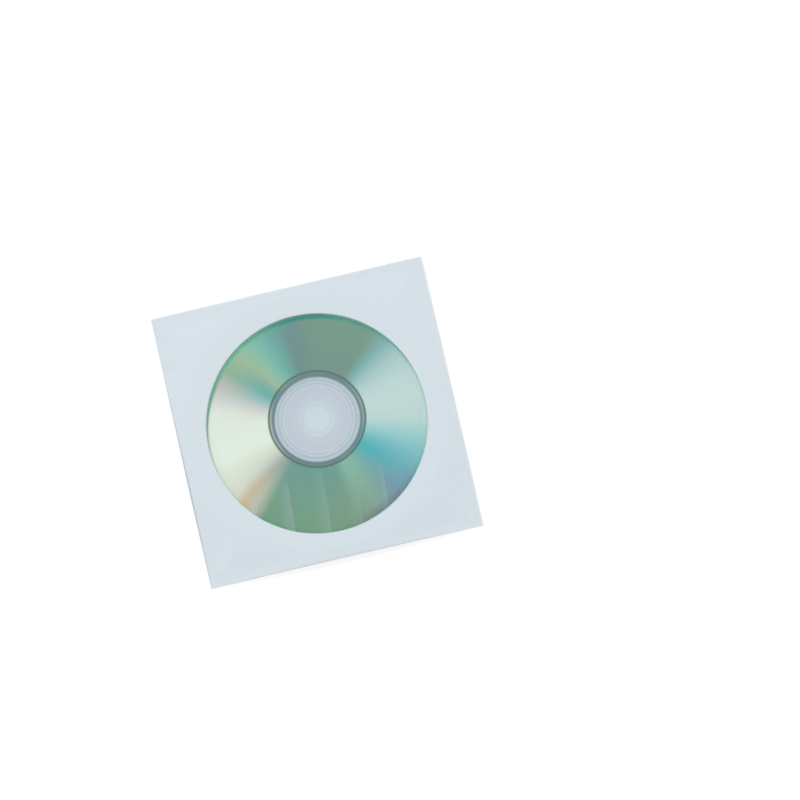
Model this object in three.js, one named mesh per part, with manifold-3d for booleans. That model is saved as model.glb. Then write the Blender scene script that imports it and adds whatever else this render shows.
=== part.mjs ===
// A square paper sleeve with a round film window, holding one optical disc.
// The sleeve is a single die-cut sheet: the front panel with its window, two side seams folded in behind
// it, the back panel folded up over the seams and gummed to them, and a closing flap folded down behind that.
// The frame: X across the sleeve, Y towards the closing flap, Z out of the window. The back rests on Z = 0.
// All sizes are in millimetres.

import * as THREE from 'three';
import { mergeGeometries, mergeVertices } from 'three/addons/utils/BufferGeometryUtils.js';
import Module from 'manifold-3d';

const wasm = await Module();
wasm.setup();

// The disc
const discDiameter = 120;
const discThickness = 1.2;
const discHoleDiameter = 15;
const discEdgeRadius = 0.15;
const holeChamfer = 0.35;
const stackingRingDiameter = 33;
const stackingRingWidth = 1.2;
const stackingRingHeight = 0.2;
const hubGrooveDiameter = 39.6;
const hubGrooveWidth = 0.9;
const hubGrooveDepth = 0.12;
const discShiftX = 0.55; // where it has slid to inside the pocket
const discShiftY = 1.25;
const discClearance = 0.1;

// The folded sheet, cut to leave the disc room inside the folds
const paperThickness = 0.12;
const sideRoom = 2.38;
const endRoom = 2.38;
const sleeveWidth = discDiameter + 2 * (sideRoom + paperThickness);
const sleeveHeight = discDiameter + 2 * (endRoom + paperThickness);
const foldRadius = 0.4; // middle of the paper, where a fold stands open around the disc
const creaseFlat = 0.02; // straight stretch left between a fold's two bends
const windowDiameter = 100;
const windowDrop = 0.85; // the window's centre is this far under the sheet's

// The closing flap, folded behind the top edge
const flapDepth = 20;
const flapTaper = 6;
const flapShoulder = 0.7; // the flap's root is this much inside the sleeve's side
const flapGap = 0.1;

// The side seams and the back panel gummed over them
const seamWidth = 14;
const seamShoulder = 2; // relief notch at each end of a side fold
const seamTaper = 6.5;
const gumThickness = 0.05;
const gumWidth = 8;
const gumMargin = 2.5;
const backInset = 2.5;
const backShoulder = 3;
const mouthDrop = 4; // the back panel's top edge is this far under the top fold

// How far the paper stands off its own seam where the corners are pressed shut
const cornerGap = 0.12;
const sideDrop = 0.2; // the front panel's fall from the window to the middle of a side
const rimFall = 3; // the front panel starts to fall this far inside the disc's rim
const openShare = 0.2; // share of a side, from its middle, where the fold stands fully open
const rampLength = 5.5; // the back panel climbs on to the closing flap over this length

// The window film, gummed behind the front panel
const filmBorder = 4;
const filmSize = windowDiameter + 2 * filmBorder;
const filmThickness = 0.04;
const filmGum = 0.03;

// Facets
const bendSteps = 3;
const panelSteps = 9;
const rampSteps = 3;
const windowSteps = 96;
const discSteps = 96;
const ridgeSteps = 4;

// Lines of the folded sheet that everything else is placed from
const halfPaper = paperThickness / 2;
const foldLineX = sleeveWidth / 2 - halfPaper - foldRadius;
const foldLineY = sleeveHeight / 2 - halfPaper - foldRadius;
const windowRadius = windowDiameter / 2;
const flapEdgeY = sleeveHeight / 2 - flapDepth;
const rampEnd = flapEdgeY - gumMargin / 2;
const rampStart = rampEnd - rampLength;
const seamEndY = sleeveHeight / 2 - seamShoulder;
const filmEdge = filmSize / 2;

// Heights of the layers, from the table up
const flapLayer = paperThickness + flapGap;
const discSeat = flapLayer + paperThickness + discClearance;
const discTop = discSeat + discThickness;
const filmTop = discTop + stackingRingHeight + discClearance / 2 + filmThickness;
const crown = filmTop + filmGum + halfPaper;

const smooth = (t) => THREE.MathUtils.smoothstep(t, 0, 1);

// Middle of the paper in the back panel, in the side seams on it, and in a front panel pressed down on those
const lift = (y) => flapLayer * smooth((y - rampStart) / (rampEnd - rampStart));
const backLevel = (y) => halfPaper + lift(y);
const seamLevel = (y) => backLevel(y) + paperThickness + gumThickness;
const pressedLevel = (y) => seamLevel(y) + paperThickness + cornerGap;

// How full the sleeve stands: 1 over the disc, less at the folds and 0 in the corners
function fullness(x, y) {
  const across = Math.abs(x) / foldLineX;
  const along = Math.abs(y) / foldLineY;
  const reach = Math.max(across, along);
  const radius = Math.hypot(x, y);
  const flatRadius = discDiameter / 2 - rimFall;
  if (radius <= flatRadius) return 1;
  const towardsCorner = Math.min(across, along) / reach;
  const sideFullness = 1 - sideDrop / (crown - pressedLevel(y));
  const atEdge = sideFullness * (1 - smooth((towardsCorner - openShare) / (1 - openShare)));
  const outward = (radius - flatRadius) / (radius / reach - flatRadius);
  return 1 - smooth(outward) * (1 - atEdge);
}

const frontLevel = (x, y) => pressedLevel(y) + fullness(x, y) * (crown - pressedLevel(y));

// Grid lines from edge to edge, closer together towards the edges, with the given lines among them
function gridLines(edge, others) {
  const fixed = [...others.flatMap((v) => [-v, v]), -edge, edge];
  const closest = edge / panelSteps / 8;
  const spread = [];
  for (let k = -panelSteps; k <= panelSteps; k++) {
    const line = edge * Math.sin((k / panelSteps) * (Math.PI / 2));
    if (fixed.every((v) => Math.abs(v - line) > closest)) spread.push(line);
  }
  return [...fixed, ...spread].sort((a, b) => a - b);
}

const rampLines = Array.from({ length: rampSteps + 1 }, (_, k) => rampStart + (rampLength * k) / rampSteps);
const columns = gridLines(foldLineX, [filmEdge]);
const rows = gridLines(foldLineY, [filmEdge, seamEndY, ...rampLines]).reverse();

// A patch of sheet through a grid of points. Its front shows with rows running down and columns to the right.
function patch(grid) {
  const geometry = new THREE.PlaneGeometry(1, 1, grid[0].length - 1, grid.length - 1);
  geometry.getAttribute('position').array.set(grid.flat().flatMap((p) => [p.x, p.y, p.z]));
  geometry.deleteAttribute('normal');
  geometry.deleteAttribute('uv');
  return geometry;
}

// The path of the paper round an open fold, as distance out from the fold line and height
function foldPath(from, to) {
  const radius = Math.min(foldRadius, (from - to - creaseFlat) / 2);
  const bend = (height, start) =>
    Array.from({ length: bendSteps + 1 }, (_, k) => {
      const angle = start - (k / bendSteps) * (Math.PI / 2);
      return { out: foldRadius - radius + radius * Math.cos(angle), z: height + radius * Math.sin(angle) };
    });
  const bends = [...bend(from - radius, Math.PI / 2), ...bend(to + radius, 0)];
  return [{ out: 0, z: from }, ...bends, { out: 0, z: to }];
}

function frontPanel() {
  return patch(rows.map((y) => columns.map((x) => new THREE.Vector3(x, y, frontLevel(x, y)))));
}

// Beyond the end of a side fold the front panel keeps its full width, out to where the fold begins to bend
function cornerTab(side, end) {
  const edge = side * foldLineX;
  const reach = foldPath(frontLevel(edge, end * seamEndY), seamLevel(end * seamEndY))[1].out;
  const line = (y) => [0, reach].map((out) => new THREE.Vector3(edge + side * out, y, frontLevel(edge, y)));
  const grid = [line(end * foldLineY), line(end * seamEndY)];
  return patch(side * end > 0 ? grid : grid.reverse());
}

// A side seam: round the side fold, then flat behind the front panel, with both ends tapered
function sideSeam(side) {
  const edge = side * foldLineX;
  const reach = seamWidth - (sleeveWidth / 2 - foldLineX);
  const grid = rows
    .filter((y) => Math.abs(y) <= seamEndY)
    .map((y) => {
      const path = foldPath(frontLevel(edge, y), seamLevel(y));
      const fold = path.map((p) => new THREE.Vector3(edge + side * p.out, y, p.z));
      const flat = [0.5, 1].map((share) => {
        const tapered = y * (1 - (share * seamTaper) / seamEndY);
        return new THREE.Vector3(edge - side * share * reach, tapered, seamLevel(tapered));
      });
      const line = [...fold, ...flat];
      return side > 0 ? line : line.reverse();
    });
  return patch(grid);
}

// The back panel: round the bottom fold, then up over the seams and on to the closing flap
function backPanel() {
  const top = sleeveHeight / 2 - mouthDrop;
  const shoulder = -foldLineY + backShoulder;
  const narrow = (sleeveWidth / 2 - backInset) / foldLineX;
  const lines = [shoulder, ...rows.filter((y) => y > shoulder + 1 && y < top - 1).reverse(), top];
  const folds = columns.map((x) => foldPath(frontLevel(x, -foldLineY), backLevel(-foldLineY)));
  const round = folds[0].map((_, k) =>
    columns.map((x, i) => new THREE.Vector3(x, -foldLineY - folds[i][k].out, folds[i][k].z)));
  const flat = lines.map((y) => columns.map((x) => new THREE.Vector3(x * narrow, y, backLevel(y))));
  return patch([...round, ...flat]);
}

// The closing flap: round the top fold, then flat under the back panel, with tapered sides
function closingFlap() {
  const root = (sleeveWidth / 2 - flapShoulder) / foldLineX;
  const tip = (sleeveWidth / 2 - flapShoulder - flapTaper) / foldLineX;
  const folds = columns.map((x) => foldPath(frontLevel(x, foldLineY), halfPaper));
  const last = folds[0].length - 1;
  const round = folds[0].map((_, k) => {
    const narrow = THREE.MathUtils.lerp(1, root, k / last);
    return columns.map((x, i) => new THREE.Vector3(x * narrow, foldLineY + folds[i][k].out, folds[i][k].z));
  });
  const edge = columns.map((x) => new THREE.Vector3(x * tip, flapEdgeY, halfPaper));
  return patch([...round, edge].reverse());
}

// Gives an open surface its thickness, half to each side, and closes it round its free edges
function thicken(surface, thickness) {
  const middle = mergeVertices(surface, 1e-4);
  middle.computeVertexNormals();
  const { position, normal } = middle.attributes;
  const count = position.count;
  const points = new Float32Array(count * 6);
  for (let k = 0; k < count * 3; k++) {
    const offset = (normal.array[k] * thickness) / 2;
    points[k] = position.array[k] + offset;
    points[k + count * 3] = position.array[k] - offset;
  }
  const faces = [];
  const edges = new Map();
  for (let k = 0; k < middle.index.count; k += 3) {
    const [a, b, c] = [0, 1, 2].map((n) => middle.index.getX(k + n));
    if (a === b || b === c || c === a) continue;
    faces.push(a, b, c, c + count, b + count, a + count);
    for (const [from, to] of [[a, b], [b, c], [c, a]]) {
      if (!edges.delete(`${to} ${from}`)) edges.set(`${from} ${to}`, [from, to]);
    }
  }
  for (const [from, to] of edges.values()) {
    faces.push(to, from, from + count, to, from + count, to + count);
  }
  const geometry = new THREE.BufferGeometry();
  geometry.setAttribute('position', new THREE.BufferAttribute(points, 3));
  geometry.setIndex(faces);
  return geometry;
}

function solidOf(geometry) {
  const bare = geometry.clone();
  bare.deleteAttribute('normal');
  bare.deleteAttribute('uv');
  const merged = mergeVertices(bare, 1e-4);
  return new wasm.Manifold(new wasm.Mesh({
    numProp: 3,
    vertProperties: merged.attributes.position.array,
    triVerts: new Uint32Array(merged.index.array),
  }));
}

function geometryOf(solid) {
  const mesh = solid.getMesh();
  const geometry = new THREE.BufferGeometry();
  geometry.setAttribute('position', new THREE.BufferAttribute(mesh.vertProperties, 3));
  geometry.setIndex(new THREE.BufferAttribute(mesh.triVerts, 1));
  return geometry;
}

// The gum line that holds the back panel to a side seam. It reaches to the middle of both sheets.
function gumLine(side) {
  const end = seamEndY - seamTaper;
  const start = sleeveWidth / 2 - backInset - gumMargin;
  const lines = rows.filter((y) => Math.abs(y) < end - 1);
  const ends = [end, ...lines, -end];
  const under = ends.map((y) => new THREE.Vector2(y, backLevel(y)));
  const over = ends.map((y) => new THREE.Vector2(y, seamLevel(y))).reverse();
  const profile = new THREE.Shape([...under, ...over]);
  const geometry = new THREE.ExtrudeGeometry(profile, { depth: gumWidth, bevelEnabled: false });
  const turn = new THREE.Matrix4().makeBasis(
    new THREE.Vector3(0, 1, 0), new THREE.Vector3(0, 0, 1), new THREE.Vector3(1, 0, 0));
  geometry.applyMatrix4(turn);
  geometry.translate(side > 0 ? start - gumWidth : -start, 0, 0);
  return geometry;
}

function sleeveGeometry() {
  const tabs = [cornerTab(1, 1), cornerTab(1, -1), cornerTab(-1, 1), cornerTab(-1, -1)];
  const sheet = mergeGeometries([
    frontPanel(), ...tabs, sideSeam(1), sideSeam(-1), backPanel(), closingFlap(),
  ]);
  const middle = (discSeat + discTop) / 2;
  const cutter = new THREE.CylinderGeometry(windowRadius, windowRadius, crown, windowSteps);
  cutter.rotateX(Math.PI / 2);
  cutter.translate(0, -windowDrop, middle + crown / 2);
  return geometryOf(solidOf(thicken(sheet, paperThickness))
    .add(solidOf(gumLine(1)))
    .add(solidOf(gumLine(-1)))
    .subtract(solidOf(cutter)));
}

// The film lies under the front panel and follows it
function filmGeometry() {
  const inside = (v) => Math.abs(v) <= filmEdge;
  const drop = halfPaper + filmGum + filmThickness / 2;
  const grid = rows.filter(inside).map((y) =>
    columns.filter(inside).map((x) => new THREE.Vector3(x, y, frontLevel(x, y) - drop)));
  return geometryOf(solidOf(thicken(patch(grid), filmThickness)));
}

// Half of the disc's section, turned about the disc's axis. The side with the stacking ring faces the window.
function discGeometry() {
  const rim = discDiameter / 2;
  const hole = discHoleDiameter / 2;
  const ring = stackingRingDiameter / 2;
  const groove = hubGrooveDiameter / 2;
  const round = (centreZ, start) => [0, 0.5, 1].map((t) => {
    const angle = start + (t * Math.PI) / 2;
    const out = rim - discEdgeRadius + discEdgeRadius * Math.cos(angle);
    return [out, centreZ + discEdgeRadius * Math.sin(angle)];
  });
  const ridge = Array.from({ length: ridgeSteps + 1 }, (_, k) => {
    const angle = (k / ridgeSteps) * Math.PI;
    const out = ring + (stackingRingWidth / 2) * Math.cos(angle);
    return [out, discThickness + stackingRingHeight * Math.sin(angle)];
  });
  const section = [
    [hole, holeChamfer],
    [hole + holeChamfer, 0],
    ...round(discEdgeRadius, -Math.PI / 2),
    ...round(discThickness - discEdgeRadius, 0),
    [groove + hubGrooveWidth / 2, discThickness],
    [groove, discThickness - hubGrooveDepth],
    [groove - hubGrooveWidth / 2, discThickness],
    ...ridge,
    [hole + holeChamfer, discThickness],
    [hole, discThickness - holeChamfer],
    [hole, holeChamfer],
  ];
  const geometry = new THREE.LatheGeometry(section.map(([r, z]) => new THREE.Vector2(r, z)), discSteps);
  geometry.rotateX(Math.PI / 2);
  return geometryOf(solidOf(geometry));
}

function namedMesh(name, geometry, look) {
  const mesh = new THREE.Mesh(geometry, new THREE.MeshStandardMaterial(look));
  mesh.name = name;
  return mesh;
}

const part = new THREE.Group();

part.add(namedMesh('paper_sleeve', sleeveGeometry(), { color: 0xd5dfe6, roughness: 0.85, metalness: 0 }));
part.add(namedMesh('window_film', filmGeometry(), {
  color: 0xe9eef2, roughness: 0.15, metalness: 0, transparent: true, opacity: 0.15,
}));

const disc = namedMesh('disc', discGeometry(), { color: 0x7fae9f, roughness: 0.2, metalness: 0.4 });
disc.position.set(discShiftX, discShiftY, discSeat);
part.add(disc);

export default part;
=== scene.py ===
import bpy
import math
from mathutils import Matrix, Vector, noise


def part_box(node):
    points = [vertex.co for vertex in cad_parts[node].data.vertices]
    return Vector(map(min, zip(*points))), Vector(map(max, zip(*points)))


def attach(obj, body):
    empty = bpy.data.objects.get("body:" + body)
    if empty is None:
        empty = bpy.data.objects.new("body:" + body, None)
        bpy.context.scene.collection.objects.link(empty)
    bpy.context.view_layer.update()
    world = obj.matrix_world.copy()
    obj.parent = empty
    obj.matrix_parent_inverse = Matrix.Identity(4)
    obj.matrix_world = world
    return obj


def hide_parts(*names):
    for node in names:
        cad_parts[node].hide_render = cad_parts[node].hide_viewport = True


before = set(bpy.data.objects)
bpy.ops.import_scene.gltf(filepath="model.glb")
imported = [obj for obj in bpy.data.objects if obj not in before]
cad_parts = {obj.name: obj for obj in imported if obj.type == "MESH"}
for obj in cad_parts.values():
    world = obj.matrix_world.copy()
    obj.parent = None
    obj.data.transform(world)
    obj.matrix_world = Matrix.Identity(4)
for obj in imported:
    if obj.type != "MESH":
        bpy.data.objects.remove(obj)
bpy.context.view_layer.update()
mm = 0.001
near = 0.01 * mm  # points that differ by less are level with each other
mergeDistance = 0.002 * mm


# small helpers

def smooth(t):
    t = min(1.0, max(0.0, t))
    return t * t * (3 - 2 * t)


def deselectAll():
    if bpy.context.object and bpy.context.object.mode != "OBJECT":
        bpy.ops.object.mode_set(mode="OBJECT")
    bpy.ops.object.select_all(action="DESELECT")


def makeActive(piece):
    deselectAll()
    piece.select_set(True)
    bpy.context.view_layer.objects.active = piece


def selectEdges(piece, wanted):
    # leaves edit mode on with just the edges whose two ends pass the test
    bpy.ops.object.mode_set(mode="EDIT")
    bpy.ops.mesh.select_mode(type="EDGE")
    bpy.ops.mesh.select_all(action="DESELECT")
    bpy.ops.object.mode_set(mode="OBJECT")
    points = piece.data.vertices
    for edge in piece.data.edges:
        edge.select = all(wanted(points[i].co) for i in edge.vertices)
    bpy.ops.object.mode_set(mode="EDIT")


def extrudeBy(move):
    bpy.ops.mesh.extrude_edges_move(TRANSFORM_OT_translate={"value": move})


def stretch(x=1, y=1):
    bpy.ops.transform.resize(value=(x, y, 1), center_override=(0, 0, 0))


def closeSurface(piece):
    # merges what lies in the same place, then turns the faces outwards
    makeActive(piece)
    bpy.ops.object.mode_set(mode="EDIT")
    bpy.ops.mesh.select_all(action="SELECT")
    bpy.ops.mesh.remove_doubles(threshold=mergeDistance)
    bpy.ops.mesh.normals_make_consistent(inside=False)
    bpy.ops.object.mode_set(mode="OBJECT")


def applyModifier(piece, kind, **settings):
    makeActive(piece)
    modifier = piece.modifiers.new(kind.lower(), kind)
    for name, value in settings.items():
        setattr(modifier, name, value)
    bpy.ops.object.modifier_apply(modifier=modifier.name)


def finishShading(piece, degrees):
    makeActive(piece)
    bpy.ops.object.shade_smooth_by_angle(angle=math.radians(degrees))


# camera: nearly straight over the sleeve, turned so that the sleeve lies askew in the picture

cameraValues = {
    "lens": 240.8,
    "sensor": 36,
    "distance": 2.4,
    "target": (38.7 * mm, 1.11 * mm, 0),
    "tilt": 7.66,  # away from straight down
    "leaning": -80.1,  # the side it leans to, from +X
    "turn": -12.89,
}


def makeCamera(v):
    tilt, leaning, turn = (math.radians(v[name]) for name in ("tilt", "leaning", "turn"))
    back = Vector((math.sin(tilt) * math.cos(leaning), math.sin(tilt) * math.sin(leaning), math.cos(tilt)))
    right = Vector((-math.sin(turn), math.cos(turn), 0)).cross(back).normalized()
    bpy.ops.object.camera_add(location=Vector(v["target"]) + v["distance"] * back)
    camera = bpy.context.object
    camera.name = "camera"
    camera.data.lens = v["lens"]
    camera.data.sensor_width = v["sensor"]
    camera.rotation_euler = Matrix((right, back.cross(right), back)).transposed().to_euler()
    bpy.context.scene.camera = camera


deselectAll()
makeCamera(cameraValues)
print("camera placed")


# shape of the folded sheet, shared by the paper and the film under its window

sheet = {
    "size": 125 * mm,
    "thickness": 0.12 * mm,
    "foldRadius": 0.4 * mm,
    "foldSteps": 10,
    "window": 50 * mm,
    "windowDrop": 0.85 * mm,
    "windowSides": 256,
    "windowCut": 2 * mm,
    "cell": 1.1 * mm,
    "sharpFrom": 35,  # degrees between faces from which an edge shades sharp
    # side seams, tapered towards both ends
    "seamWidth": 14 * mm,
    "seamShoulder": 2 * mm,
    "seamTaper": 6.5 * mm,
    "seamSteps": 8,
    # closing flap
    "flapDepth": 20 * mm,
    "flapTaper": 6 * mm,
    "flapShoulder": 0.7 * mm,
    "flapSteps": 10,
    # back panel, which climbs on to the flap
    "backShoulder": 3 * mm,
    "backInset": 2.5 * mm,
    "backSteps": 60,
    "mouthDrop": 4 * mm,
    "rampLength": 5.5 * mm,
    "rampSpare": 1.25 * mm,
    # how the layers lie on each other
    "flapGap": 0.1 * mm,
    "gum": 0.05 * mm,
    "cornerGap": 0.12 * mm,
    "cornerInset": 0.06 * mm,
    # how the front falls from the disc to the pressed corners, and its slow ripple
    "sideDrop": 0.2 * mm,
    "levelOut": 57 * mm,
    "openShare": 0.2,
    "ripple": 0.05 * mm,
    "rippleSize": 24 * mm,
    "rippleReach": 20 * mm,
    "rippleSlice": 0.02,
    "rippleSink": 0.6,
    # layers kept well apart while the sheet is folded
    "layerDepth": {"seam": 1 * mm, "back": 2 * mm, "flap": 3 * mm},
}
halfPaper = sheet["thickness"] / 2
foldLine = sheet["size"] / 2 - halfPaper - sheet["foldRadius"]
outside = sheet["size"] / 2 - sheet["cornerInset"]
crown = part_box("paper_sleeve")[1].z - halfPaper  # middle of the paper over the disc
cells = round(2 * foldLine / sheet["cell"])  # along each side of the flat sheet
rampEnd = sheet["size"] / 2 - sheet["flapDepth"] - sheet["rampSpare"]  # up on the flap from here


# each level is the height of the middle of a layer of paper

def backLevel(y):
    climb = smooth((y - rampEnd + sheet["rampLength"]) / sheet["rampLength"])
    return halfPaper + (sheet["thickness"] + sheet["flapGap"]) * climb


def seamLevel(y):
    return backLevel(y) + sheet["thickness"] + sheet["gum"]


def pressedLevel(y):
    return seamLevel(y) + sheet["thickness"] + sheet["cornerGap"]


def fullness(x, y):
    # how far the front is lifted: 1 over the disc, less towards the sides, 0 in the pressed corners
    across, along = abs(x) / foldLine, abs(y) / foldLine
    reach, radius = max(across, along), math.hypot(x, y)
    if radius <= sheet["levelOut"]:
        return 1
    corner = min(across, along) / reach
    side = 1 - sheet["sideDrop"] / (crown - pressedLevel(y))
    atEdge = side * (1 - smooth((corner - sheet["openShare"]) / (1 - sheet["openShare"])))
    outward = (radius - sheet["levelOut"]) / (radius / reach - sheet["levelOut"])
    return 1 - smooth(outward) * (1 - atEdge)


def ripple(x, y):
    # slow unevenness of the paper, none over the disc
    free = smooth((math.hypot(x, y) - sheet["window"]) / sheet["rippleReach"])
    wave = noise.noise(Vector((x, y, sheet["rippleSlice"])) / sheet["rippleSize"])
    return sheet["ripple"] * free * (wave - sheet["rippleSink"])


def frontLevel(x, y):
    return pressedLevel(y) + fullness(x, y) * (crown - pressedLevel(y)) + ripple(x, y)


# the paper sleeve: one sheet, its folds spun round, then eased up over the disc

def foldSeams(sleeve):
    depth = sheet["layerDepth"]["seam"]
    seamEnd = sheet["size"] / 2 - sheet["seamShoulder"]
    cell = 2 * foldLine / cells
    lastRow = foldLine - cell * math.ceil((foldLine - seamEnd) / cell)
    reach = sheet["seamWidth"] - sheet["foldRadius"] - halfPaper
    steps = sheet["seamSteps"]
    for side in (1, -1):
        fold = side * foldLine
        selectEdges(sleeve, lambda p: abs(p.x - fold) < near and abs(p.y) < seamEnd and abs(p.z) < near)
        bpy.ops.mesh.spin(steps=sheet["foldSteps"], angle=-side * math.pi,
                          center=(fold, 0, -depth / 2), axis=(0, 1, 0))
        for step in range(steps):
            extrudeBy((-side * reach / steps, 0, 0))
            left = seamEnd - sheet["seamTaper"] * (step + 1) / steps
            stretch(y=left / (seamEnd - sheet["seamTaper"] * step / steps))

        # corners that the seam leaves free, flat out to the edge
        selectEdges(sleeve, lambda p: abs(p.x - fold) < near and abs(p.y) > lastRow - near
                    and abs(p.z) < near)
        extrudeBy((side * (outside - foldLine), 0, 0))


def foldBack(sleeve):
    depth = sheet["layerDepth"]["back"]
    selectEdges(sleeve, lambda p: abs(p.y + foldLine) < near and abs(p.z) < near)
    bpy.ops.mesh.spin(steps=sheet["foldSteps"], angle=-math.pi,
                      center=(0, -foldLine, -depth / 2), axis=(1, 0, 0))
    extrudeBy((0, sheet["backShoulder"], 0))
    stretch(x=(sheet["size"] / 2 - sheet["backInset"]) / outside)
    reach = sheet["size"] / 2 - sheet["mouthDrop"] + foldLine - sheet["backShoulder"]
    for step in range(sheet["backSteps"]):
        extrudeBy((0, reach / sheet["backSteps"], 0))


def foldFlap(sleeve):
    depth = sheet["layerDepth"]["flap"]
    selectEdges(sleeve, lambda p: abs(p.y - foldLine) < near and abs(p.z) < near)
    bpy.ops.mesh.spin(steps=sheet["foldSteps"], angle=math.pi,
                      center=(0, foldLine, -depth / 2), axis=(1, 0, 0))
    root = sheet["size"] / 2 - sheet["flapShoulder"]
    stretch(x=root / outside)
    reach = sheet["flapDepth"] - sheet["foldRadius"] - halfPaper
    steps = sheet["flapSteps"]
    for step in range(steps):
        extrudeBy((0, -reach / steps, 0))
        wide = root - sheet["flapTaper"] * step / steps
        stretch(x=(wide - sheet["flapTaper"] / steps) / wide)
    bpy.ops.object.mode_set(mode="OBJECT")


def layerAt(y, z):
    # the layer that a point belongs to, and the height it is pressed down to
    depth = sheet["layerDepth"]
    if y < -foldLine - near:
        return "back", backLevel(-foldLine)
    if y > foldLine + near:
        return "flap", halfPaper
    if z > -(depth["seam"] + depth["back"]) / 2:
        return "seam", seamLevel(y)
    if z > -(depth["back"] + depth["flap"]) / 2:
        return "back", backLevel(y)
    return "flap", halfPaper


def pressLayers(sleeve):
    # brings the layers together and lifts the front over the disc
    for point in sleeve.data.vertices:
        x, y, z = point.co
        if abs(z) < near:
            point.co.z = frontLevel(x, y)
            continue
        layer, lower = layerAt(y, z)
        depth = sheet["layerDepth"][layer]
        bulge = sheet["foldRadius"] / (depth / 2)
        if layer == "seam" and abs(x) > foldLine:
            point.co.x = math.copysign(foldLine + (abs(x) - foldLine) * bulge, x)
        if layer != "seam" and abs(y) > foldLine:
            point.co.y = math.copysign(foldLine + (abs(y) - foldLine) * bulge, y)
        inX = math.copysign(min(abs(x), foldLine), x)
        inY = math.copysign(min(abs(y), foldLine), y)
        upper = frontLevel(inX, inY)
        point.co.z = upper + (lower - upper) * min(1, -z / depth)


def cutWindow(sleeve):
    deselectAll()
    bpy.ops.mesh.primitive_cylinder_add(vertices=sheet["windowSides"], radius=sheet["window"],
                                        depth=sheet["windowCut"], location=(0, -sheet["windowDrop"], crown))
    cutter = bpy.context.object
    applyModifier(sleeve, "BOOLEAN", operation="DIFFERENCE", object=cutter, solver="EXACT")
    bpy.data.objects.remove(cutter)


def makeSleeve():
    bpy.ops.mesh.primitive_grid_add(x_subdivisions=cells, y_subdivisions=cells, size=2 * foldLine)
    sleeve = bpy.context.object
    sleeve.name = "sleeve_paper"
    foldSeams(sleeve)
    foldBack(sleeve)
    foldFlap(sleeve)
    pressLayers(sleeve)
    closeSurface(sleeve)
    applyModifier(sleeve, "SOLIDIFY", thickness=sheet["thickness"], offset=0)
    cutWindow(sleeve)
    finishShading(sleeve, sheet["sharpFrom"])
    return sleeve


sleeve = makeSleeve()
print("sleeve folded", len(sleeve.data.polygons))


# the window film, gummed under the front

filmValues = {
    "size": 108 * mm,
    "thickness": 0.04 * mm,
    "under": 0.03 * mm,
    "cellsAcross": 240,
    "cellsAlong": 72,
    "creaseDepth": 0.08 * mm,
    # soft creases, in millimetres: x of the sharp edge, top, foot, width to the left, and how pale it is
    "creases": [
        (-34.8, -14, -40, 5.0, 0.065),
        (-19.7, -18, -54, 6.0, 0.08),
        (-3.6, -18, -56, 6.5, 0.065),
        (11.2, -20, -54, 6.5, 0.05),
        (23.6, -20, -50, 3.4, 0.06),
    ],
    "edgeWide": 0.7,
    "topFade": 14,
    "footFade": 6,
    "lean": 0.06,
    "middle": -36,
}


def creaseAt(v, x, y, crease):
    # 1 along the sharp edge, falling to 0 on its left and at both ends
    edge, top, foot, wide, pale = crease
    across = x / mm - v["lean"] * (y / mm - v["middle"])
    along = y / mm
    slope = smooth((across - edge + wide) / wide) * smooth((edge + v["edgeWide"] - across) / v["edgeWide"])
    return slope * smooth((top - along) / v["topFade"]) * smooth((along - foot) / v["footFade"])


def makeFilm(v):
    deselectAll()
    bpy.ops.mesh.primitive_grid_add(x_subdivisions=v["cellsAcross"], y_subdivisions=v["cellsAlong"],
                                    size=v["size"])
    film = bpy.context.object
    film.name = "window_film_sheet"
    for point in film.data.vertices:
        x, y = point.co.x, point.co.y
        sag = v["creaseDepth"] * max(creaseAt(v, x, y, crease) for crease in v["creases"])
        point.co.z = frontLevel(x, y) - halfPaper - v["under"] - v["thickness"] / 2 - sag
    applyModifier(film, "SOLIDIFY", thickness=v["thickness"], offset=0)
    finishShading(film, sheet["sharpFrom"])
    return film


film = makeFilm(filmValues)
print("film laid")


# the disc: a clear moulded body and the dyed reflective layer behind it

discLow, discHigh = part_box("disc")
discCentre = (discLow + discHigh) / 2
discValues = {
    "rim": 60 * mm,
    "thickness": 1.2 * mm,
    "edgeRadius": 0.15 * mm,
    "edgeSteps": 4,
    "hole": 7.5 * mm,
    "holeEdge": 0.35 * mm,
    "holeEdgeBehind": 0.3 * mm,
    # the lowered face that a player clamps
    "clampInner": 11.2 * mm,
    "clampOuter": 13.7 * mm,
    "clampWall": 0.2 * mm,
    "clampDeep": 0.08 * mm,
    # stacking ring
    "ring": 16.5 * mm,
    "ringWide": 0.6 * mm,
    "ringHigh": 0.2 * mm,
    "ringSteps": 8,
    # groove where the dye begins
    "groove": 19.8 * mm,
    "grooveWide": 0.45 * mm,
    "grooveDeep": 0.12 * mm,
    # the foil lies in a recess behind
    "recessInner": 19.2 * mm,
    "recessOuter": 58.7 * mm,
    "recessWall": 0.05 * mm,
    "foilInner": 19.4 * mm,
    "foilOuter": 58.6 * mm,
    "foilThickness": 0.08 * mm,
    "foilGap": 0.01 * mm,
    "segments": 192,
    "sharpFrom": 25,
}


def arc(radius, height, wide, high, start, end, steps):
    # points of a section's round stretch, from one angle to another, in degrees from outwards
    turns = [math.radians(start + (end - start) * step / steps) for step in range(steps + 1)]
    return [(radius + wide * math.cos(turn), height + high * math.sin(turn)) for turn in turns]


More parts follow.
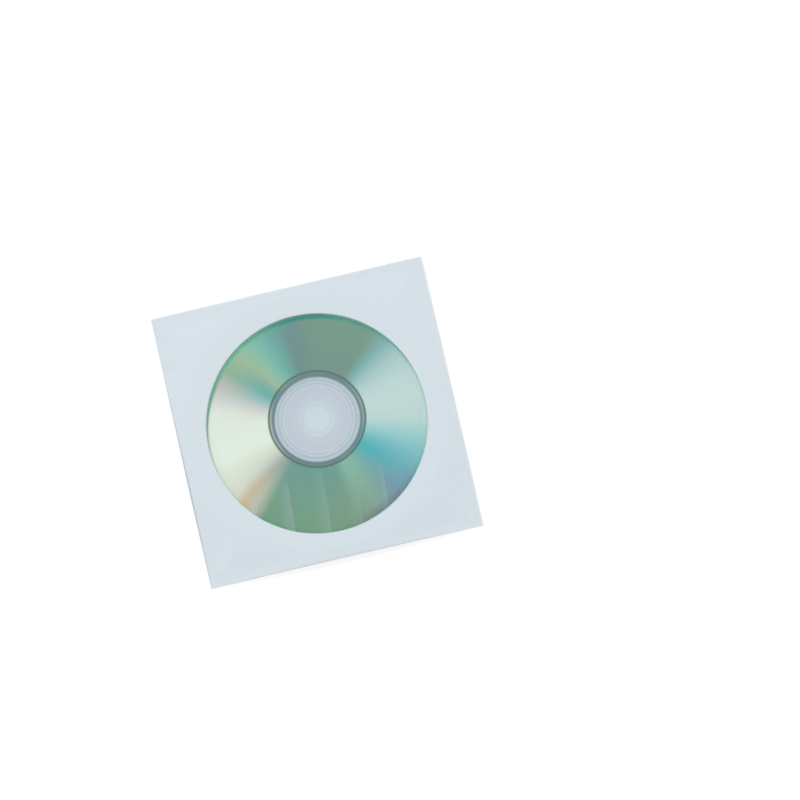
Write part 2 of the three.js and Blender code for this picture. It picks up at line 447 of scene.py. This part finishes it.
def spinProfile(name, outline, v):
    # the outline holds radius and height pairs of a closed section, turned about the disc's own axis
    deselectAll()
    mesh = bpy.data.meshes.new(name)
    count = len(outline)
    mesh.from_pydata([(r, 0, z) for r, z in outline], [(i, (i + 1) % count) for i in range(count)], [])
    piece = bpy.data.objects.new(name, mesh)
    bpy.context.scene.collection.objects.link(piece)
    makeActive(piece)
    bpy.ops.object.mode_set(mode="EDIT")
    bpy.ops.mesh.select_all(action="SELECT")
    bpy.ops.mesh.spin(steps=v["segments"], angle=2 * math.pi, center=(0, 0, 0), axis=(0, 0, 1))
    closeSurface(piece)
    for point in piece.data.vertices:
        point.co += Vector((discCentre.x, discCentre.y, discLow.z))
    finishShading(piece, v["sharpFrom"])
    return piece


def makeDiscBody(v):
    # the section runs outwards behind, round the rim and back in on the window's side
    top, rim, hole, edge = v["thickness"], v["rim"], v["hole"], v["edgeRadius"]
    low = v["foilThickness"] + v["foilGap"]
    outline = [(hole, v["holeEdge"]), (hole + v["holeEdgeBehind"], 0)]
    outline += [(v["recessInner"] - v["recessWall"], 0), (v["recessInner"], low)]
    outline += [(v["recessOuter"], low), (v["recessOuter"] + v["recessWall"], 0)]
    outline += arc(rim - edge, edge, edge, edge, -90, 0, v["edgeSteps"])
    outline += arc(rim - edge, top - edge, edge, edge, 0, 90, v["edgeSteps"])
    outline += [(v["groove"] + v["grooveWide"], top), (v["groove"], top - v["grooveDeep"])]
    outline += [(v["groove"] - v["grooveWide"], top)]
    outline += arc(v["ring"], top, v["ringWide"], v["ringHigh"], 0, 180, v["ringSteps"])
    outline += [(v["clampOuter"] + v["clampWall"], top), (v["clampOuter"], top - v["clampDeep"])]
    outline += [(v["clampInner"], top - v["clampDeep"]), (v["clampInner"] - v["clampWall"], top)]
    outline += [(hole + v["holeEdge"], top), (hole, top - v["holeEdge"])]
    return spinProfile("disc_body", outline, v)


def makeDiscFoil(v):
    inner, outer, high = v["foilInner"], v["foilOuter"], v["foilThickness"]
    return spinProfile("disc_foil", [(inner, 0), (outer, 0), (outer, high), (inner, high)], v)


discBody = makeDiscBody(discValues)
discFoil = makeDiscFoil(discValues)
print("disc turned")


# materials: a share or colour below is an output socket or a plain value

def newMaterial(name):
    material = bpy.data.materials.new(name)
    material.use_nodes = True
    tree = material.node_tree
    tree.nodes.clear()
    return material, tree


def node(tree, kind, **values):
    made = tree.nodes.new(kind)
    for name, value in values.items():
        if name in made.inputs:
            made.inputs[name].default_value = value
        else:
            setattr(made, name, value)
    return made


def plug(tree, value, socket):
    if isinstance(value, bpy.types.NodeSocket):
        tree.links.new(value, socket)
    else:
        socket.default_value = value


def showSurface(tree, surface, kind="ShaderNodeOutputMaterial"):
    plug(tree, surface, node(tree, kind).inputs["Surface"])


def srgb(r, g, b):
    def straight(c):
        c /= 255
        return c / 12.92 if c <= 0.04045 else ((c + 0.055) / 1.055) ** 2.4
    return (straight(r), straight(g), straight(b), 1)


def combine(tree, operation, *values):
    made = node(tree, "ShaderNodeMath", operation=operation)
    for value, socket in zip(values, made.inputs):
        plug(tree, value, socket)
    return made.outputs["Value"]


def placeFrom(tree, x, y):
    # how far a point of the piece lies across and along from the given one, in metres
    where = node(tree, "ShaderNodeTexCoord")
    centred = node(tree, "ShaderNodeMapping")
    centred.inputs["Location"].default_value = (-x, -y, 0)
    split = node(tree, "ShaderNodeSeparateXYZ")
    plug(tree, where.outputs["Object"], centred.inputs["Vector"])
    plug(tree, centred.outputs["Vector"], split.inputs["Vector"])
    return split.outputs["X"], split.outputs["Y"]


def distanceFrom(tree, x, y):
    across, along = placeFrom(tree, x, y)
    flat = node(tree, "ShaderNodeCombineXYZ")
    length = node(tree, "ShaderNodeVectorMath", operation="LENGTH")
    plug(tree, across, flat.inputs["X"])
    plug(tree, along, flat.inputs["Y"])
    plug(tree, flat.outputs["Vector"], length.inputs[0])
    return length.outputs["Value"]


def rangeShare(tree, distance, low, high, most=1, interpolation="LINEAR"):
    # 0 at the low distance, most at the high one, both in millimetres
    share = node(tree, "ShaderNodeMapRange", interpolation_type=interpolation)
    plug(tree, distance, share.inputs["Value"])
    plug(tree, low * mm, share.inputs["From Min"])
    plug(tree, high * mm, share.inputs["From Max"])
    plug(tree, most, share.inputs["To Max"])
    return share.outputs["Result"]


def rampBy(tree, share, stops):
    ramp = node(tree, "ShaderNodeValToRGB")
    elements = ramp.color_ramp.elements
    while len(elements) > 1:
        elements.remove(elements[0])
    elements[0].position, elements[0].color = stops[0]
    for position, colour in stops[1:]:
        elements.new(position).color = colour
    plug(tree, share, ramp.inputs["Fac"])
    return ramp.outputs["Color"]


def rampByRadius(tree, distance, reach, stops):
    # the stops stand at distances in millimetres, none past the reach
    share = combine(tree, "DIVIDE", distance, reach * mm)
    return rampBy(tree, share, [(radius / reach, colour) for radius, colour in stops])


def mixColours(tree, share, first, second):
    mix = node(tree, "ShaderNodeMix", data_type="RGBA")
    plug(tree, share, mix.inputs[0])
    plug(tree, first, mix.inputs[6])
    plug(tree, second, mix.inputs[7])
    return mix.outputs[2]


def mixShaders(tree, share, first, second):
    mix = node(tree, "ShaderNodeMixShader")
    for value, socket in zip((share, first, second), mix.inputs):
        plug(tree, value, socket)
    return mix.outputs["Shader"]


paperValues = {
    "colour": srgb(219, 229, 236),
    "shade": srgb(214, 225, 232),
    "shadeUntil": 0.3,
    "colourFrom": 0.7,
    "cloud": {"Scale": 600.0, "Detail": 6.0, "Roughness": 0.65},
    "fibre": {"Scale": 2600.0, "Detail": 4.0, "Roughness": 0.65},
    "fibreStrength": 0.25,
    "fibreHeight": 0.02 * mm,
    "roughness": 0.75,
    "specular": 0.2,
    # the folds, in millimetres: painted light along the bottom and the right, painted shade on the left
    "foldWide": 0.9,
    "foldPaintedLight": srgb(240, 245, 249),
    "paintedLightShare": 0.8,
    "foldPaintedShade": srgb(138, 144, 160),
    "paintedShadeShare": 0.9,
    "paintedShadeFrom": 45,
    "paintedShadeUntil": -20,
    "paintedShadeFoot": -72,
}


def paperMaterial(v):
    material, tree = newMaterial("uncoated_paper")
    shader = node(tree, "ShaderNodeBsdfPrincipled", Roughness=v["roughness"])
    shader.inputs["Specular IOR Level"].default_value = v["specular"]
    where = node(tree, "ShaderNodeTexCoord").outputs["Object"]
    cloud = node(tree, "ShaderNodeTexNoise", **v["cloud"])
    fibre = node(tree, "ShaderNodeTexNoise", **v["fibre"])
    bump = node(tree, "ShaderNodeBump", Strength=v["fibreStrength"], Distance=v["fibreHeight"])
    plug(tree, where, cloud.inputs["Vector"])
    plug(tree, where, fibre.inputs["Vector"])
    plug(tree, fibre.outputs["Fac"], bump.inputs["Height"])
    plug(tree, bump.outputs["Normal"], shader.inputs["Normal"])
    tints = [(v["shadeUntil"], v["shade"]), (v["colourFrom"], v["colour"])]
    colour = rampBy(tree, cloud.outputs["Fac"], tints)

    # the painted shade on the left fold is deepest below the middle
    across, along = placeFrom(tree, 0, 0)
    edge = sheet["size"] / 2 / mm
    down = rangeShare(tree, along, v["paintedShadeFrom"], v["paintedShadeUntil"], v["paintedShadeShare"])
    foot = rangeShare(tree, along, v["paintedShadeFoot"], v["paintedShadeUntil"])
    paintedShade = rangeShare(tree, across, v["foldWide"] - edge, -edge, combine(tree, "MULTIPLY", down, foot))
    colour = mixColours(tree, paintedShade, colour, v["foldPaintedShade"])
    # painted light along the right and the bottom folds, which turn from the sun
    for distance, side in ((across, 1), (along, -1)):
        pale = rangeShare(tree, distance, side * (edge - v["foldWide"]), side * edge, v["paintedLightShare"])
        colour = mixColours(tree, pale, colour, v["foldPaintedLight"])
    plug(tree, colour, shader.inputs["Base Color"])
    showSurface(tree, shader.outputs["BSDF"])
    return material


def glossOver(tree, under, ior, roughness):
    # a clear shiny surface over what lies under it, mirroring only from its outside
    coat = node(tree, "ShaderNodeBsdfGlossy", Roughness=roughness)
    fresnel = node(tree, "ShaderNodeFresnel", IOR=ior)
    behind = node(tree, "ShaderNodeNewGeometry").outputs["Backfacing"]
    share = combine(tree, "MULTIPLY", fresnel.outputs["Fac"], combine(tree, "SUBTRACT", 1, behind))
    return mixShaders(tree, share, under, coat.outputs["BSDF"])


filmLook = {
    "ior": 1.2,
    "roughness": 0.08,
    "creaseTint": (0.72, 0.88, 0.92, 1),
    "wander": 0.8,
    "wanderScale": 45.0,
    # gummed edge just inside the window, in millimetres, with painted light on the left, where the window's
    # edge shades it, and painted shade on the right
    "gumFrom": 49.45,
    "gumUntil": 49.9,
    "gumShare": 0.75,
    "gumPaintedLightLeft": (0.8, 1.0, 0.96, 1),
    "gumPaintedShadeRight": (0.48, 0.8, 0.76, 1),
    "gumTurns": (-5, 35),  # from the left tint to the right one
    # a ring of painted shade, darkened in the film where the disc's hole casts its shadow: red that comes
    # through, by distance in millimetres
    "pressed": [(0, 0.985), (5.7, 0.98), (6.2, 0.955), (6.6, 0.955), (7.1, 0.985), (12, 0.985)],
    "pressedReach": 12,
    "moreGreen": 0.006,
    "moreBlue": 0.01,
}


def creaseShare(tree, across, along, crease, v):
    # the same slope as creaseAt gives, as nodes
    edge, top, foot, wide, pale = crease
    share = pale
    for distance, low, high in ((across, edge - wide, edge), (across, edge + v["edgeWide"], edge),
                                (along, top, top - v["topFade"]), (along, foot, foot + v["footFade"])):
        slope = rangeShare(tree, distance, low, high, interpolation="SMOOTHSTEP")
        share = combine(tree, "MULTIPLY", slope, share)
    return share


def filmMaterial(v, shape):
    material, tree = newMaterial("clear_film")
    through = node(tree, "ShaderNodeBsdfTransparent")
    fromHole = distanceFrom(tree, discCentre.x, discCentre.y)
    # the ring of painted shadow from the disc's hole darkens what comes through
    stops = [(radius, (red, red + v["moreGreen"], red + v["moreBlue"], 1)) for radius, red in v["pressed"]]
    plug(tree, rampByRadius(tree, fromHole, v["pressedReach"], stops), through.inputs["Color"])
    surface = glossOver(tree, through.outputs["BSDF"], v["ior"], v["roughness"])

    # the creases lean, and wander a little on their way
    x, along = placeFrom(tree, 0, 0)
    slow = node(tree, "ShaderNodeTexNoise", Scale=v["wanderScale"], Detail=1.0)
    plug(tree, node(tree, "ShaderNodeTexCoord").outputs["Object"], slow.inputs["Vector"])
    start = (shape["lean"] * shape["middle"] - v["wander"] / 2) * mm
    wander = combine(tree, "MULTIPLY_ADD", slow.outputs["Fac"], v["wander"] * mm, start)
    across = combine(tree, "ADD", x, combine(tree, "MULTIPLY_ADD", along, -shape["lean"], wander))
    creased = 0
    for crease in shape["creases"]:
        creased = combine(tree, "MAXIMUM", creased, creaseShare(tree, across, along, crease, shape))
    pale = node(tree, "ShaderNodeBsdfDiffuse", Color=v["creaseTint"])
    surface = mixShaders(tree, creased, surface, pale.outputs["BSDF"])

    gum = node(tree, "ShaderNodeBsdfDiffuse")
    # the gum's tint holds painted light on the left and painted shade on the right
    gumPaintedTint = mixColours(tree, rangeShare(tree, x, *v["gumTurns"]), v["gumPaintedLightLeft"], v["gumPaintedShadeRight"])
    plug(tree, gumPaintedTint, gum.inputs["Color"])
    fromWindow = distanceFrom(tree, 0, -sheet["windowDrop"])
    gummed = rangeShare(tree, fromWindow, v["gumFrom"], v["gumUntil"], v["gumShare"])
    showSurface(tree, mixShaders(tree, gummed, surface, gum.outputs["BSDF"]))
    return material


bodyLook = {
    # rings of painted shade in the clear plastic, standing in for how light shows its moulded steps, by
    # distance from the middle, in millimetres
    "rings": [
        (7.5, srgb(251, 253, 252)),
        (8.5, srgb(253, 254, 253)),
        (8.8, srgb(249, 250, 250)),
        (9.2, srgb(252, 252, 253)),
        (11.5, srgb(252, 251, 252)),
        (13.4, srgb(251, 250, 252)),
        (15.2, srgb(252, 252, 253)),
        (15.6, srgb(252, 253, 252)),
        (15.95, srgb(241, 244, 245)),
        (16.4, srgb(253, 254, 253)),
        (17.0, srgb(250, 252, 251)),
        (17.6, srgb(240, 244, 243)),
        (18.2, srgb(249, 251, 251)),
        (18.8, srgb(252, 253, 254)),
        (19.3, srgb(244, 247, 249)),
        (22.0, srgb(254, 254, 254)),
    ],
    "reach": 24,
    "ior": 1.28,
    "roughness": 0.06,
}


def bodyMaterial(v):
    material, tree = newMaterial("clear_polycarbonate")
    through = node(tree, "ShaderNodeBsdfTransparent")
    distance = distanceFrom(tree, discCentre.x, discCentre.y)
    # the rings of painted shade tint what comes through
    plug(tree, rampByRadius(tree, distance, v["reach"], v["rings"]), through.inputs["Color"])
    showSurface(tree, glossOver(tree, through.outputs["BSDF"], v["ior"], v["roughness"]))
    return material


foilLook = {
    "tints": {
        "paleAqua": srgb(196, 224, 220),
        "aqua": srgb(158, 214, 211),
        "deepTeal": srgb(74, 186, 188),
        "plum": srgb(116, 158, 176),
        "leaf": srgb(136, 188, 166),
        "sage": srgb(111, 162, 148),
        "moss": srgb(118, 164, 134),
        "dryMoss": srgb(127, 161, 131),
        "dullLeaf": srgb(132, 172, 156),
        "sand": srgb(206, 206, 184),
        "amber": srgb(214, 194, 150),
        "cream": srgb(226, 232, 212),
        "mint": srgb(238, 250, 234),
        "palest": srgb(236, 246, 230),
        "lilacGrey": srgb(218, 220, 214),
        "rose": srgb(200, 198, 186),
        "seaGreen": srgb(154, 200, 196),
        "mossTeal": srgb(112, 184, 174),
        "lichen": srgb(154, 188, 158),
        "bronze": srgb(196, 188, 156),
        "olive": srgb(164, 198, 158),
        "green": srgb(130, 198, 178),
        "greenTeal": srgb(110, 176, 166),
        "slate": srgb(110, 148, 146),
        "darkSage": srgb(119, 155, 141),
        "drySage": srgb(121, 160, 139),
        "lake": srgb(130, 184, 179),
        "midTeal": srgb(112, 198, 203),
        "seaTeal": srgb(117, 181, 174),
        "dove": srgb(172, 184, 174),
        "pearl": srgb(206, 213, 200),
        "drab": srgb(140, 182, 162),
        "ice": srgb(206, 229, 223),
        "paleLake": srgb(170, 208, 205),
        "lakeBlue": srgb(108, 178, 188),
        "softTeal": srgb(128, 196, 200),
        "violet": srgb(122, 140, 154),
        "bark": srgb(124, 148, 126),
        "rimIce": srgb(210, 236, 230),
        "shadeTeal": srgb(160, 205, 200),
        "shadeSea": srgb(86, 175, 156),
        "shadeLake": srgb(104, 190, 184),
        "shadeLeft": srgb(142, 206, 180),
        "shadeLeaf": srgb(136, 220, 180),
        "shadeDeep": srgb(60, 163, 143),
    },
    # the painted sheen round the disc, its rainbow reflection put in as colour: degrees from the picture's
    # right, clockwise, near the hub and near the rim
    "aroundInner": [
        (0, "paleAqua"), (10, "aqua"), (19, "midTeal"), (27, "deepTeal"), (33, "deepTeal"),
        (41, "seaTeal"), (51, "leaf"), (60, "leaf"), (70, "sage"), (119, "sage"), (131, "dove"),
        (137, "pearl"), (144, "cream"), (156, "mint"), (178, "palest"), (189, "lilacGrey"),
        (198, "seaGreen"), (205, "mossTeal"), (210, "mossTeal"), (215, "drab"), (220, "olive"),
        (230, "green"), (240, "greenTeal"), (250, "slate"), (266, "darkSage"), (302, "darkSage"),
        (310, "lake"), (319, "paleLake"), (331, "paleAqua"), (345, "ice"), (360, "paleAqua"),
    ],
    "aroundOuter": [
        (0, "paleAqua"), (10, "aqua"), (20, "softTeal"), (30, "lakeBlue"), (41, "plum"),
        (53, "dullLeaf"), (68, "dryMoss"), (84, "moss"), (118, "moss"), (126, "sand"), (131, "amber"),
        (138, "cream"), (156, "mint"), (184, "palest"), (192, "lilacGrey"), (200, "rose"),
        (208, "lichen"), (219, "olive"), (230, "green"), (241, "greenTeal"), (252, "slate"),
        (268, "drySage"), (302, "drySage"), (310, "lake"), (319, "paleLake"), (331, "paleAqua"),
        (345, "ice"), (360, "paleAqua"),
    ],
    "aroundRim": [
        (0, "rimIce"), (12, "aqua"), (22, "softTeal"), (32, "plum"), (42, "violet"), (54, "violet"),
        (63, "bark"), (80, "moss"), (118, "moss"), (125, "sand"), (130, "amber"), (137, "cream"),
        (156, "mint"), (184, "palest"), (195, "amber"), (202, "bronze"), (209, "lichen"),
        (219, "olive"), (230, "green"), (241, "greenTeal"), (252, "slate"), (300, "drySage"),
        (319, "paleLake"), (331, "rimIce"), (360, "rimIce"),
    ],
    # where each of them holds, by radius in millimetres
    "innerUntil": 26,
    "outerFrom": 46,
    "rimFrom": 46.6,
    "rimUntil": 49.8,
    # the crescent that the window's edge leaves darker
    "aroundShaded": [
        (0, "shadeTeal"), (150, "shadeLeft"), (185, "shadeLeft"), (222, "shadeLeaf"),
        (253, "shadeDeep"), (268, "shadeDeep"), (287, "shadeSea"), (301, "shadeSea"),
        (309, "shadeLake"), (317, "shadeTeal"), (360, "shadeTeal"),
    ],
    "litCentre": (0.6 * mm, -3.8 * mm),  # middle of the circle that stays lit
    "litRadius": 50.3,
    "litBlur": 0.8,
    # it is lit up again under the very edge by the pale paper above
    "edgeFrom": 48.7,
    "edgeUntil": 50.1,
    "edgeShare": 0.65,
    "edgeTint": (0.42, 0.96, 0.8, 1),
    "pictureTurn": 13.1,  # how far the sleeve lies turned in the picture, in degrees
    # where the dye begins: its own tint and how much of the sheen shows through it, by radius in millimetres
    "rings": [
        (19.4, srgb(150, 164, 174), 0.0),
        (20.1, srgb(124, 144, 152), 0.05),
        (20.6, srgb(120, 140, 140), 0.3),
        (20.9, srgb(130, 150, 140), 0.5),
        (21.2, srgb(110, 134, 122), 0.3),
        (21.5, srgb(84, 116, 99), 0.05),
        (21.9, srgb(84, 116, 99), 0.05),
        (22.5, srgb(118, 150, 138), 1.0),
    ],
    "ringReach": 24,
    "metal": 0.35,
    "roughness": 0.28,
}


def foilMaterial(v):
    material, tree = newMaterial("dyed_foil_painted_sheen")
    shader = node(tree, "ShaderNodeBsdfPrincipled", Roughness=v["roughness"], Metallic=v["metal"])
    across, along = placeFrom(tree, discCentre.x, discCentre.y)
    distance = distanceFrom(tree, discCentre.x, discCentre.y)
    # share of a whole turn: 0 at the picture's right, clockwise
    angle = combine(tree, "ARCTAN2", along, across)
    turned = combine(tree, "MULTIPLY_ADD", angle, -1 / (2 * math.pi), 1 - v["pictureTurn"] / 360)
    turned = combine(tree, "FRACT", turned)

    def around(stops):
        return rampBy(tree, turned, [(degrees / 360, v["tints"][name]) for degrees, name in stops])

    # the painted sheen: the disc's rainbow reflection, put in as colour round the middle
    outward = rangeShare(tree, distance, v["innerUntil"], v["outerFrom"])
    paintedSheen = mixColours(tree, outward, around(v["aroundInner"]), around(v["aroundOuter"]))
    atRim = rangeShare(tree, distance, v["rimFrom"], v["rimUntil"])
    paintedSheen = mixColours(tree, atRim, paintedSheen, around(v["aroundRim"]))

    # the crescent of painted shade by the window's edge, over the real shadow it casts, with painted light
    # under the very edge
    fromWindow = distanceFrom(tree, 0, -sheet["windowDrop"])
    atEdge = rangeShare(tree, fromWindow, v["edgeFrom"], v["edgeUntil"], v["edgeShare"])
    crescent = mixColours(tree, atEdge, around(v["aroundShaded"]), v["edgeTint"])
    fromLit = distanceFrom(tree, *v["litCentre"])
    halfBlur = v["litBlur"] / 2
    shaded = rangeShare(tree, fromLit, v["litRadius"] - halfBlur, v["litRadius"] + halfBlur)
    paintedSheen = mixColours(tree, shaded, paintedSheen, crescent)

    # dark rings where the dye begins
    dyes = [(radius, tint) for radius, tint, seen in v["rings"]]
    shares = [(radius, (seen, seen, seen, 1)) for radius, tint, seen in v["rings"]]
    dye = rampByRadius(tree, distance, v["ringReach"], dyes)
    through = rampByRadius(tree, distance, v["ringReach"], shares)
    plug(tree, mixColours(tree, through, dye, paintedSheen), shader.inputs["Base Color"])
    showSurface(tree, shader.outputs["BSDF"])
    return material


def dress(piece, material):
    piece.data.materials.clear()
    piece.data.materials.append(material)
    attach(piece, "root")


dress(sleeve, paperMaterial(paperValues))
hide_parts("paper_sleeve")
dress(film, filmMaterial(filmLook, filmValues))
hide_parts("window_film")
dress(discBody, bodyMaterial(bodyLook))
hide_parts("disc")
dress(discFoil, foilMaterial(foilLook))
print("materials on")


# floor and light

stageValues = {
    "floorSize": 6.0,
    "floorDrop": 0.02 * mm,
    "floorColour": (0.97, 0.97, 0.97, 1),
    "floorGlow": 1.06,
    "floorSeen": 0.7,  # share of the glow in what the camera sees, the rest shows the shadow
    "ambient": 0.66,
    "background": 1.0,  # as seen by the camera and in reflections
    "sunStrength": 1.65,
    "sunZenith": 55,
    "sunAzimuth": 104.9,  # from +X
    "sunAngle": 9,
}
white = (1, 1, 1, 1)


def makeFloor(v):
    deselectAll()
    bpy.ops.mesh.primitive_plane_add(size=v["floorSize"], location=(0, 0, -v["floorDrop"]))
    floor = bpy.context.object
    floor.name = "floor"
    material, tree = newMaterial("floor_white")
    plain = node(tree, "ShaderNodeBsdfDiffuse", Color=v["floorColour"])
    lit = node(tree, "ShaderNodeEmission", Color=white, Strength=v["floorGlow"])
    path = node(tree, "ShaderNodeLightPath").outputs
    seen = combine(tree, "MULTIPLY", path["Is Camera Ray"], v["floorSeen"])
    showSurface(tree, mixShaders(tree, seen, plain.outputs["BSDF"], lit.outputs["Emission"]))
    floor.data.materials.append(material)


def makeWorld(v):
    world = bpy.data.worlds.new("studio")
    bpy.context.scene.world = world
    world.use_nodes = True
    tree = world.node_tree
    tree.nodes.clear()
    around = node(tree, "ShaderNodeBackground", Color=white, Strength=v["ambient"])
    plain = node(tree, "ShaderNodeBackground", Color=white, Strength=v["background"])
    path = node(tree, "ShaderNodeLightPath").outputs
    seen = combine(tree, "MAXIMUM", path["Is Camera Ray"], path["Is Glossy Ray"])
    seen = combine(tree, "MAXIMUM", seen, path["Is Transmission Ray"])
    surface = mixShaders(tree, seen, around.outputs["Background"], plain.outputs["Background"])
    showSurface(tree, surface, "ShaderNodeOutputWorld")


def makeSun(v):
    deselectAll()
    bpy.ops.object.light_add(type="SUN", location=(0, 0, 1))
    sun = bpy.context.object
    sun.name = "key"
    sun.data.energy = v["sunStrength"]
    sun.data.angle = math.radians(v["sunAngle"])
    zenith, azimuth = math.radians(v["sunZenith"]), math.radians(v["sunAzimuth"])
    level = math.sin(zenith)
    towards = Vector((level * math.cos(azimuth), level * math.sin(azimuth), math.cos(zenith)))
    sun.rotation_euler = towards.to_track_quat("Z", "Y").to_euler()


makeFloor(stageValues)
makeWorld(stageValues)
makeSun(stageValues)
bpy.context.scene.view_settings.view_transform = "Standard"
print("stage set")
